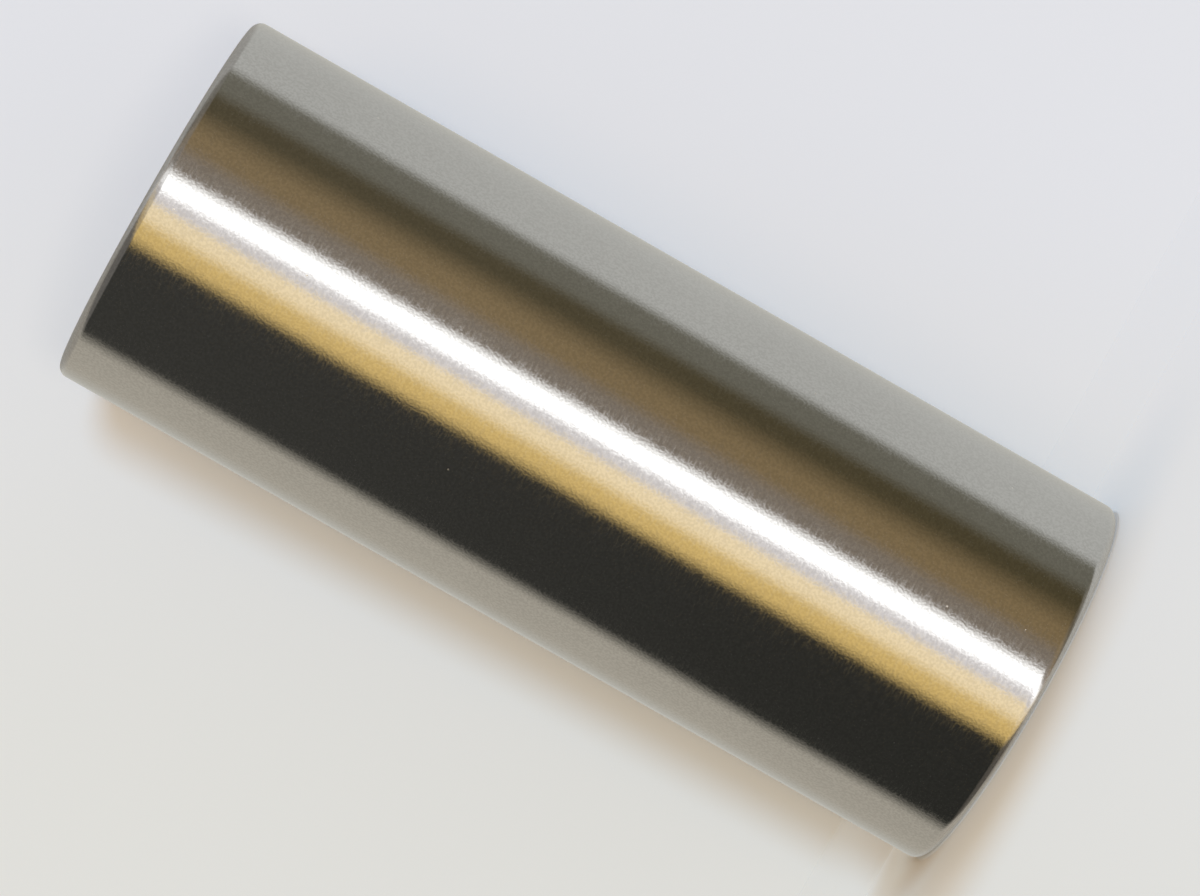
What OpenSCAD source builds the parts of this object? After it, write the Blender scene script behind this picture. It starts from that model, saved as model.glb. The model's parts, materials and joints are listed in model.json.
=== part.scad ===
// Piston pin: a hollow steel pin, ground outside, that carries a piston on its connecting rod.
// Millimetres. The pin stands on one end face, with its axis on +Z and that face at z = 0.

/* [Pin] */
// Diameter of the ground outer surface
outer_d = 22; // [20:0.5:32]
// Length from end face to end face
pin_length = 54; // [20:1:90]
// Radius that rounds each outer edge
edge_r = 0.6; // [0.2:0.1:1.2]

/* [Bore] */
// Diameter of the straight bore right through the pin
bore_d = 13; // [6:0.5:15]
// Size of the 45 degree chamfer at each mouth of the bore
mouth_chamfer = 0.8; // [0.2:0.1:1.2]

/* [Hidden] */
outer_r = outer_d / 2;
bore_r = bore_d / 2;
steel = "#C9CAC7";
facets = 128;

// Half section of the wall: X is the distance from the axis, Y is the height
module wall_section() {
    edge_r_in = outer_r - edge_r;
    edge_top = pin_length - edge_r;
    mouth_r = bore_r + mouth_chamfer;
    mouth_top = pin_length - mouth_chamfer;
    polygon([
        [mouth_r, 0],
        [edge_r_in, 0],
        [outer_r, edge_r],
        [outer_r, edge_top],
        [edge_r_in, pin_length],
        [mouth_r, pin_length],
        [bore_r, mouth_top],
        [bore_r, mouth_chamfer]
    ]);
    for (y = [edge_r, edge_top])
        translate([edge_r_in, y])
            circle(r = edge_r, $fn = facets);
}

// The whole pin, turned from one bar
module piston_pin() {
    color(steel)
        rotate_extrude($fn = facets)
            wall_section();
}

piston_pin();
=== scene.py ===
import json
from math import cos, hypot, pi, radians, sin

import bmesh
import bpy
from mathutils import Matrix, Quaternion, Vector


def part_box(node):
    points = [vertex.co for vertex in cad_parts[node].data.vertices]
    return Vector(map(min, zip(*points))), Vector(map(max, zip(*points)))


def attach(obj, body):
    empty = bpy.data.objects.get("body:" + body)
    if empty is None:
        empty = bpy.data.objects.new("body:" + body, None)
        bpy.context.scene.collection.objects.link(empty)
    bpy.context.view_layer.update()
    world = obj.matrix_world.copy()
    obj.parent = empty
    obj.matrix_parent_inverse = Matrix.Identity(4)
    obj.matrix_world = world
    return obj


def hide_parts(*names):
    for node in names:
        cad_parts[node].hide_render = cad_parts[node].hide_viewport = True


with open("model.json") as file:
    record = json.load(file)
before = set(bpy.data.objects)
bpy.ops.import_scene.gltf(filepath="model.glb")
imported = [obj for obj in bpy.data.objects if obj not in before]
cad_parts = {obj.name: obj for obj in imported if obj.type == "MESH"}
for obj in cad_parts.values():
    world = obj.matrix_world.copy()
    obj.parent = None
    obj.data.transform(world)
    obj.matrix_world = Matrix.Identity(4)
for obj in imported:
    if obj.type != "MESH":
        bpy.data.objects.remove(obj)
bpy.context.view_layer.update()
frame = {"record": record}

# The pin stands on the origin with its axis on +Z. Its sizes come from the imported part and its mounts.
mounts = {m["name"]: m for m in frame["record"]["mounts"]}
pinLow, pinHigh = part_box("piston_pin")
pin = {
    "radius": mounts["outer_surface"]["dims"]["r_mm"] / 1000,
    "boreRadius": mounts["bore"]["dims"]["r_mm"] / 1000,
    "length": pinHigh.z - pinLow.z,
    "straightOutside": mounts["outer_surface"]["dims"]["length_mm"] / 1000,
    "straightBore": mounts["bore"]["dims"]["length_mm"] / 1000,
    "sides": 256,
    "edgeSteps": 10,
    "rings": 17,
    "cornerBreak": 0.00005,
    "cornerAngle": radians(30),
    "squareOn": 0.999,
    "nearEnough": 0.00002,
}
print("sizes read from the frame")


# Nodes

def addNode(tree, kind, values=None, **settings):
    made = tree.nodes.new(kind)
    for name, value in settings.items():
        setattr(made, name, value)
    for socket, value in (values or {}).items():
        if isinstance(value, bpy.types.NodeSocket):
            tree.links.new(value, made.inputs[socket])
        else:
            made.inputs[socket].default_value = value
    return made


def mathNode(tree, operation, a, b=0.0):
    return addNode(tree, "ShaderNodeMath", {0: a, 1: b}, operation=operation).outputs[0]


def vectorNode(tree, operation, a, b):
    second = "Scale" if operation == "SCALE" else 1
    return addNode(tree, "ShaderNodeVectorMath", {0: a, second: b}, operation=operation)


def rangeNode(tree, value, low, high, atLow=0.0, atHigh=1.0):
    sockets = {"Value": value, "From Min": low, "From Max": high, "To Min": atLow, "To Max": atHigh}
    return addNode(tree, "ShaderNodeMapRange", sockets, interpolation_type="SMOOTHSTEP").outputs[0]


def mixColour(tree, share, a, b):
    mixed = addNode(tree, "ShaderNodeMix", data_type="RGBA")
    for index, value in ((0, share), (6, a), (7, b)):
        if isinstance(value, bpy.types.NodeSocket):
            tree.links.new(value, mixed.inputs[index])
        else:
            mixed.inputs[index].default_value = (*value, 1.0) if isinstance(value, tuple) else value
    return mixed.outputs[2]


def noiseNode(tree, place, scale, detail):
    sockets = {"Vector": place, "Scale": scale, "Detail": detail}
    return addNode(tree, "ShaderNodeTexNoise", sockets).outputs[0]


def addShares(tree, first, second):
    parts = [mathNode(tree, "MULTIPLY", value, share) for value, share in (first, second)]
    return mathNode(tree, "ADD", *parts)


def stretchNode(tree, place, scale):
    return addNode(tree, "ShaderNodeMapping", {"Vector": place, "Scale": scale}).outputs[0]


def newMaterial(name):
    material = bpy.data.materials.new(name)
    material.use_nodes = True
    material.node_tree.nodes.clear()
    return material, material.node_tree


def metalSurface(tree, colour, rough, height, strength, depth, **more):
    bump = addNode(tree, "ShaderNodeBump", {"Height": height, "Strength": strength, "Distance": depth})
    sockets = {"Base Color": colour, "Metallic": 1.0, "Roughness": rough, "Normal": bump.outputs[0]}
    shader = addNode(tree, "ShaderNodeBsdfPrincipled", {**sockets, **more})
    addNode(tree, "ShaderNodeOutputMaterial", {"Surface": shader.outputs[0]})


# Selecting in edit mode

def selectWhere(piece, kind, test):
    bpy.ops.mesh.select_mode(type=kind)
    bpy.ops.mesh.select_all(action="DESELECT")
    shape = bmesh.from_edit_mesh(piece.data)
    for part in shape.edges if kind == "EDGE" else shape.faces:
        part.select_set(test(part))
    bmesh.update_edit_mesh(piece.data)


def ringTest(radius, heights):
    def onRing(vertex, height):
        away = abs(hypot(vertex.co.x, vertex.co.y) - radius)
        return max(away, abs(vertex.co.z - height)) < pin["nearEnough"]

    return lambda edge: any(all(onRing(vertex, height) for vertex in edge.verts) for height in heights)


# The pin

steelLook = {
    "bright": (0.650, 0.648, 0.640),
    "dull": (0.520, 0.516, 0.506),
    "clouds": 90.0,
    "cloudShare": 0.5,
    "grains": 6500.0,
    "grainSpan": (0.35, 0.65),
    "grainShare": 0.5,
    "grainRelief": 0.35,
    "grinding": (2000.0, 2000.0, 10000.0),
    "grindingSpan": (0.35, 0.72),
    "grindingRelief": 0.25,
    "relief": 0.12,
    "reliefDepth": 0.00002,
    "roughness": (0.070, 0.165),
    "edgeRoughness": 0.45,
    "specks": 450.0,
    "speckSize": (0.016, 0.028),
    "speckRoughness": 0.5,
    "speckColour": (0.90, 0.88, 0.85),
    "endRings": 1200.0,
    "endRingShare": 0.4,
    "endRelief": 0.4,
    "endReliefDepth": 0.00001,
    "endClouds": 270.0,
    "endCloudShare": 0.6,
    "endRoughness": (0.26, 0.36),
    "endAnisotropy": 0.6,
    "boreBright": (0.51, 0.505, 0.495),
    "boreDull": (0.44, 0.435, 0.425),
    "boreStreaks": (2600.0, 2600.0, 40.0),
    "boreRelief": 0.2,
    "boreRoughness": (0.34, 0.46),
    "markSpan": (0.3, 0.7),
}


# Ground and polished: fine lines around the pin, a few bright specks, and rougher rounded edges
def outsideMaterial():
    material, tree = newMaterial("groundSteel")
    place = addNode(tree, "ShaderNodeTexCoord").outputs["Object"]
    clouds = noiseNode(tree, place, steelLook["clouds"], detail=3.0)
    grains = noiseNode(tree, place, steelLook["grains"], detail=1.0)
    grains = rangeNode(tree, grains, *steelLook["grainSpan"])
    marks = addShares(tree, (clouds, steelLook["cloudShare"]), (grains, steelLook["grainShare"]))
    colour = mixColour(tree, marks, steelLook["dull"], steelLook["bright"])
    dots = addNode(tree, "ShaderNodeTexVoronoi", {"Vector": place, "Scale": steelLook["specks"]})
    speck = rangeNode(tree, dots.outputs["Distance"], *steelLook["speckSize"], atLow=1.0, atHigh=0.0)
    colour = mixColour(tree, speck, colour, steelLook["speckColour"])
    lines = noiseNode(tree, stretchNode(tree, place, steelLook["grinding"]), scale=1.0, detail=2.0)
    rough = rangeNode(tree, lines, *steelLook["grindingSpan"], *steelLook["roughness"])
    rough = mathNode(tree, "MAXIMUM", rough, mathNode(tree, "MULTIPLY", speck, steelLook["speckRoughness"]))
    height = addNode(tree, "ShaderNodeSeparateXYZ", {0: place}).outputs["Z"]
    fromMiddle = mathNode(tree, "ABSOLUTE", mathNode(tree, "SUBTRACT", height, pin["length"] / 2))
    edge = rangeNode(tree, fromMiddle, pin["straightOutside"] / 2, pin["length"] / 2)
    rough = mathNode(tree, "MAXIMUM", rough, mathNode(tree, "MULTIPLY", edge, steelLook["edgeRoughness"]))
    relief = addShares(tree, (grains, steelLook["grainRelief"]), (lines, steelLook["grindingRelief"]))
    metalSurface(tree, colour, rough, relief, steelLook["relief"], steelLook["reliefDepth"])
    return material


# Turned: rings around the axis that stretch the reflections
def endMaterial():
    material, tree = newMaterial("turnedEnd")
    place = addNode(tree, "ShaderNodeTexCoord").outputs["Object"]
    rings = addNode(tree, "ShaderNodeTexWave", {
        "Vector": place, "Scale": steelLook["endRings"], "Distortion": 0.3, "Detail": 2.0},
        wave_type="RINGS", rings_direction="Z").outputs[1]
    clouds = noiseNode(tree, place, steelLook["endClouds"], detail=4.0)
    marks = addShares(tree, (rings, steelLook["endRingShare"]), (clouds, steelLook["endCloudShare"]))
    colour = mixColour(tree, marks, steelLook["dull"], steelLook["bright"])
    rough = rangeNode(tree, marks, *steelLook["markSpan"], *steelLook["endRoughness"])
    around = addNode(tree, "ShaderNodeTangent", direction_type="RADIAL", axis="Z").outputs[0]
    metalSurface(
        tree, colour, rough, rings, steelLook["endRelief"], steelLook["endReliefDepth"],
        Anisotropic=steelLook["endAnisotropy"], Tangent=around)
    return material


# Drawn: dull streaks along the bore
def boreMaterial():
    material, tree = newMaterial("drawnBore")
    place = addNode(tree, "ShaderNodeTexCoord").outputs["Object"]
    streaks = noiseNode(tree, stretchNode(tree, place, steelLook["boreStreaks"]), scale=1.0, detail=3.0)
    colour = mixColour(tree, streaks, steelLook["boreDull"], steelLook["boreBright"])
    rough = rangeNode(tree, streaks, *steelLook["markSpan"], *steelLook["boreRoughness"])
    metalSurface(tree, colour, rough, streaks, steelLook["boreRelief"], steelLook["reliefDepth"])
    return material


def modelPin():
    ends = (0.0, pin["length"])
    edgeRadius = (pin["length"] - pin["straightOutside"]) / 2
    mouthChamfer = (pin["length"] - pin["straightBore"]) / 2
    bpy.ops.object.select_all(action="DESELECT")
    bpy.ops.mesh.primitive_cylinder_add(
        vertices=pin["sides"], radius=pin["radius"], depth=pin["length"], location=(0, 0, pin["length"] / 2))
    piece = bpy.context.object
    piece.name = "polishedPin"
    bpy.ops.object.transform_apply(location=True, rotation=True, scale=True)
    bpy.ops.object.mode_set(mode="EDIT")
    selectWhere(piece, "FACE", lambda face: abs(face.normal.z) > pin["squareOn"])
    bpy.ops.mesh.inset(thickness=pin["radius"] - pin["boreRadius"], use_even_offset=True)
    bpy.ops.mesh.bridge_edge_loops()  # joins the two inner discs into the bore
    selectWhere(piece, "EDGE", ringTest(pin["radius"], ends))
    bpy.ops.mesh.bevel(offset=edgeRadius, segments=pin["edgeSteps"], profile=0.5, affect="EDGES")
    selectWhere(piece, "EDGE", ringTest(pin["boreRadius"], ends))
    bpy.ops.mesh.bevel(offset=mouthChamfer, segments=1, affect="EDGES")
    for ring in range(1, pin["rings"] + 1):
        bpy.ops.mesh.select_all(action="SELECT")
        height = pin["length"] * ring / (pin["rings"] + 1)
        bpy.ops.mesh.bisect(plane_co=(0, 0, height), plane_no=(0, 0, 1))
    bpy.ops.mesh.select_all(action="SELECT")
    bpy.ops.mesh.normals_make_consistent(inside=False)
    bpy.ops.object.mode_set(mode="OBJECT")
    print("pin modelled", len(piece.data.vertices), len(piece.data.polygons))
    return piece


def dressPin(piece):
    for material in (outsideMaterial(), endMaterial(), boreMaterial()):
        piece.data.materials.append(material)
    mouthRadius = pin["boreRadius"] + (pin["length"] - pin["straightBore"]) / 2
    for face in piece.data.polygons:
        away = hypot(face.center.x, face.center.y)
        if away < pin["boreRadius"] + pin["nearEnough"]:
            face.material_index = 2
        elif away < mouthRadius or abs(face.normal.z) > pin["squareOn"]:
            face.material_index = 1
    bpy.ops.object.select_all(action="DESELECT")
    piece.select_set(True)
    bpy.context.view_layer.objects.active = piece
    bpy.ops.object.modifier_add(type="BEVEL")
    corner = piece.modifiers[-1]
    corner.limit_method = "ANGLE"
    corner.angle_limit = pin["cornerAngle"]
    corner.width = pin["cornerBreak"]
    corner.segments = 2
    bpy.ops.object.modifier_apply(modifier=corner.name)
    bpy.ops.object.shade_smooth_by_angle(angle=pin["cornerAngle"])
    bpy.ops.object.modifier_add(type="WEIGHTED_NORMAL")
    weighted = piece.modifiers[-1]
    weighted.keep_sharp = True
    bpy.ops.object.modifier_apply(modifier=weighted.name)
    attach(piece, "root")
    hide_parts("piston_pin")
    print("pin dressed")


dressPin(modelPin())

# Camera: square on to the pin's side, turned so that the pin lies across the view
view = {
    "from": Vector((0.0, -0.2864, 0.0397)),
    "towards": Vector((0.0, 0.0, 0.02628)),
    "turn": radians(-60.33),
    "lens": 157.7,
}
bpy.ops.object.camera_add(location=view["from"])
camera = bpy.context.object
looking = (view["towards"] - view["from"]).to_track_quat("-Z", "Y")
camera.rotation_mode = "QUATERNION"
camera.rotation_quaternion = looking @ Quaternion((0, 0, 1), view["turn"])
camera.data.lens = view["lens"]
camera.data.sensor_width = 36.0
camera.data.clip_start = 0.01
bpy.context.scene.camera = camera
print("camera placed")

# Stage: one pale sheet, flat under the pin and turned up close behind it, with painted light that makes it
# warmer on one side than the other
stage = {
    "coolTint": (0.770, 0.778, 0.815),
    "warmTint": (0.748, 0.745, 0.713),
    "tintAlong": (1.0, 0.0, 0.45),
    "tintFrom": -0.015,
    "tintTo": 0.036,
    "dome": (0.33, 0.33, 0.33),
    "span": 3.0,
    "height": 0.12,
    "bend": 0.003,
    "bendSteps": 32,
    "bendProfile": 0.33,
    # Painted glow in a thin ring under the pin's rounded edge: its strength, inset and widths
    "footGlow": 0.20,
    "glowInset": 0.00045,
    "glowWidth": (0.0003, 0.0005),
    # Painted warm shade on the sheet near the pin's foot: its colour, middle and widths
    "shade": (0.64, 0.56, 0.45),
    "shadeMiddle": (-0.003, 0.0045, 0.0),
    "shadeWidth": (0.0095, 0.014),
}
lampColours = {"daylight": (0.45, 0.70, 1.0), "bulb": (1.0, 0.62, 0.25), "soft": (1.0, 0.92, 0.75)}
# Suns: bearing to the right of the camera side, rise and width in degrees, lamp colour and strength
suns = {
    "windowLight": (10, 12, 10, "daylight", 0.45),
    "topLight": (155, 78, 14, "daylight", 0.40),
    "fillLight": (0, 30, 36, "bulb", 0.20),
    "overheadLight": (0, 90, 20, "bulb", 0.25),
    "frontLight": (0, 5, 8, "soft", 0.20),
    "bounceLight": (0, -8, 10, "soft", 0.10),
}


def sunDirection(bearing, rise):
    across = cos(radians(rise))
    return Vector((sin(radians(bearing)) * across, -cos(radians(bearing)) * across, sin(radians(rise))))


# Painted light: the colour runs from a warm, darker tint to a cool, paler one across the stage, as warm and
# cool light fall on its two sides
def tintNode(tree, place):
    side = vectorNode(tree, "DOT_PRODUCT", place, stage["tintAlong"]).outputs["Value"]
    share = rangeNode(tree, side, stage["tintFrom"], stage["tintTo"])
    return mixColour(tree, share, stage["warmTint"], stage["coolTint"])


def sheetMaterial():
    material, tree = newMaterial("paleSheet")
    material.cycles.emission_sampling = "NONE"
    geometry = addNode(tree, "ShaderNodeNewGeometry").outputs
    # Each slope of the sheet gathers another share of the suns, and its colour takes that back
    gathered = stage["dome"]
    for bearing, rise, width, lamp, strength in suns.values():
        light = [part * strength for part in lampColours[lamp]]
        facing = vectorNode(tree, "DOT_PRODUCT", geometry["True Normal"], sunDirection(bearing, rise))
        lit = mathNode(tree, "MAXIMUM", facing.outputs["Value"], 0.0)
        share = vectorNode(tree, "SCALE", light, lit).outputs[0]
        gathered = vectorNode(tree, "ADD", gathered, share).outputs[0]
    place = addNode(tree, "ShaderNodeTexCoord").outputs["Object"]
    # A painted warm shade joins the pin's cast shadow on the upright part to its foot
    fromShade = vectorNode(tree, "DISTANCE", place, stage["shadeMiddle"]).outputs["Value"]
    shaded = rangeNode(tree, fromShade, *stage["shadeWidth"], atLow=1.0, atHigh=0.0)
    tint = mixColour(tree, shaded, tintNode(tree, place), stage["shade"])
    even = vectorNode(tree, "DIVIDE", tint, gathered).outputs[0]
    front = addNode(tree, "ShaderNodeBsdfDiffuse", {"Color": even}).outputs[0]
    # A painted glow in a thin ring under the pin's rounded edge lightens the contact shadow there
    flat = vectorNode(tree, "MULTIPLY", place, (1.0, 1.0, 0.0)).outputs[0]
    fromAxis = vectorNode(tree, "DISTANCE", flat, (0.0, 0.0, 0.0)).outputs["Value"]
    inset = mathNode(tree, "SUBTRACT", pin["radius"] - stage["glowInset"], fromAxis)
    fromEdge = mathNode(tree, "ABSOLUTE", inset)
    glow = rangeNode(tree, fromEdge, *stage["glowWidth"], atLow=stage["footGlow"], atHigh=0.0)
    paintedGlow = addNode(tree, "ShaderNodeEmission", {"Color": tint, "Strength": glow}).outputs[0]
    front = addNode(tree, "ShaderNodeAddShader", {0: front, 1: paintedGlow}).outputs[0]
    clear = addNode(tree, "ShaderNodeBsdfTransparent").outputs[0]
    surface = addNode(tree, "ShaderNodeMixShader", {0: geometry["Backfacing"], 1: front, 2: clear})
    addNode(tree, "ShaderNodeOutputMaterial", {"Surface": surface.outputs[0]})
    return material


def addPlane(name, middle):
    bpy.ops.object.select_all(action="DESELECT")
    bpy.ops.mesh.primitive_plane_add(size=stage["span"], location=(0, middle, 0))
    plane = bpy.context.object
    plane.name = name
    bpy.ops.object.transform_apply(location=True, rotation=True, scale=True)
    return plane


def modelStage():
    back = pin["radius"] + stage["bend"]
    sheet = addPlane("paleSheet", back - stage["span"] / 2)

    def atBack(edge):
        near = pin["nearEnough"]
        return all(abs(vertex.co.y - back) < near and vertex.co.z < near for vertex in edge.verts)

    bpy.ops.object.mode_set(mode="EDIT")
    selectWhere(sheet, "EDGE", atBack)
    bpy.ops.mesh.extrude_region_move(TRANSFORM_OT_translate={"value": (0, 0, stage["height"])})
    selectWhere(sheet, "EDGE", atBack)
    bpy.ops.mesh.bevel(
        offset=stage["bend"], segments=stage["bendSteps"], profile=stage["bendProfile"], affect="EDGES")
    bpy.ops.object.mode_set(mode="OBJECT")
    # The sheet can't be seen from its back, so the floor goes on behind it
    farFloor = addPlane("farFloor", pin["radius"] + stage["span"] / 2)
    pale = sheetMaterial()
    for piece in (sheet, farFloor):
        piece.data.materials.append(pale)
        piece.visible_diffuse = False
        piece.visible_glossy = False
        piece.visible_shadow = False
    print("stage modelled")


def addSuns():
    for name, (bearing, rise, width, lamp, strength) in suns.items():
        direction = sunDirection(bearing, rise)
        bpy.ops.object.light_add(type="SUN", location=direction)
        sun = bpy.context.object
        sun.name = name
        sun.rotation_mode = "QUATERNION"
        sun.rotation_quaternion = direction.to_track_quat("Z", "Y")
        sun.data.color = lampColours[lamp]
        sun.data.energy = strength * pi
        sun.data.angle = radians(width)
        sun.visible_glossy = False
    print("suns placed")


modelStage()
addSuns()

# What the metal reflects: things around the pin, each from one bearing to another in degrees, and its colour
room = {
    "backLeft": (-180, -165, (0.58, 0.57, 0.52)),
    "creamWall": (-140, -108, (0.55, 0.51, 0.43)),
    "darkCorner": (-97, -34, (0.035, 0.035, 0.03)),
    "lampGlow": (-26, -20, (1.00, 0.70, 0.25)),
    "creamBlind": (-13, -7, (1.35, 1.10, 0.70)),
    "windowFrame": (-3, 1, (1.00, 0.95, 0.95)),
    "window": (6, 10, (2.5, 2.5, 2.5)),
    "curtain": (18, 26, (0.30, 0.25, 0.20)),
    "cupboard": (34, 42, (0.31, 0.22, 0.11)),
    "cupboardSide": (58, 66, (0.10, 0.08, 0.04)),
    "greyDoor": (74, 87, (0.20, 0.19, 0.15)),
    "whiteWall": (94, 140, (0.62, 0.62, 0.59)),
    "backRight": (165, 180, (0.58, 0.57, 0.52)),
}
# Laid over the room: rises in degrees where it starts and is full, its share there, and its colour
layers = {
    "haze": (-9, 3, 0.04, (0.60, 0.56, 0.52)),
    "ceiling": (7, 20, 0.5, (0.30, 0.28, 0.26)),
    "sky": (68, 85, 1.0, (0.60, 0.60, 0.60)),
    "foot": (-16, -36, 0.15, (0.66, 0.57, 0.48)),
    "floor": (-78, -89, 1.0, (0.66, 0.57, 0.48)),
}
roomLean = 0.14  # how far the room's upright edges lean, in radians at full height


def roomNode(tree, turn):
    made = addNode(tree, "ShaderNodeValToRGB", {0: turn})
    stops = made.color_ramp.elements
    stops.remove(stops[-1])
    edges = [(bearing, colour) for low, high, colour in room.values() for bearing in (low, high)]
    for index, (bearing, colour) in enumerate(edges):
        stop = stops[0] if index == 0 else stops.new(0.5 + bearing / 360)
        stop.position = 0.5 + bearing / 360
        stop.color = (*colour, 1.0)
    return made.outputs[0]


def buildWorld():
    world = bpy.data.worlds.new("studioRoom")
    bpy.context.scene.world = world
    world.use_nodes = True
    world.cycles.sampling_method = "NONE"
    tree = world.node_tree
    tree.nodes.clear()
    direction = addNode(tree, "ShaderNodeTexCoord").outputs["Generated"]
    x, y, z = addNode(tree, "ShaderNodeSeparateXYZ", {0: direction}).outputs
    angle = mathNode(tree, "ARCTAN2", x, mathNode(tree, "MULTIPLY", y, -1.0))
    angle = mathNode(tree, "SUBTRACT", angle, mathNode(tree, "MULTIPLY", z, roomLean))
    turn = mathNode(tree, "ADD", mathNode(tree, "DIVIDE", angle, 2 * pi), 0.5)
    seen = roomNode(tree, turn)
    for start, full, most, colour in layers.values():
        share = rangeNode(tree, z, sin(radians(start)), sin(radians(full)), atHigh=most)
        seen = mixColour(tree, share, seen, colour)
    # The metal shows the room, an even dome lights the sheet, and past the sheet its painted warm-to-cool
    # tint goes on
    rays = addNode(tree, "ShaderNodeLightPath").outputs
    direct = mathNode(tree, "LESS_THAN", rays["Diffuse Depth"], 0.5)
    inMetal = mathNode(tree, "MULTIPLY", rays["Is Glossy Ray"], direct)
    light = mixColour(tree, inMetal, stage["dome"], seen)
    pastSheet = mathNode(tree, "MAXIMUM", rays["Is Camera Ray"], rays["Is Transmission Ray"])
    final = mixColour(tree, pastSheet, light, tintNode(tree, direction))
    back = addNode(tree, "ShaderNodeBackground", {"Color": final, "Strength": 1.0})
    addNode(tree, "ShaderNodeOutputWorld", {"Surface": back.outputs[0]})
    print("room painted")


buildWorld()
bpy.context.scene.view_settings.view_transform = "Standard"
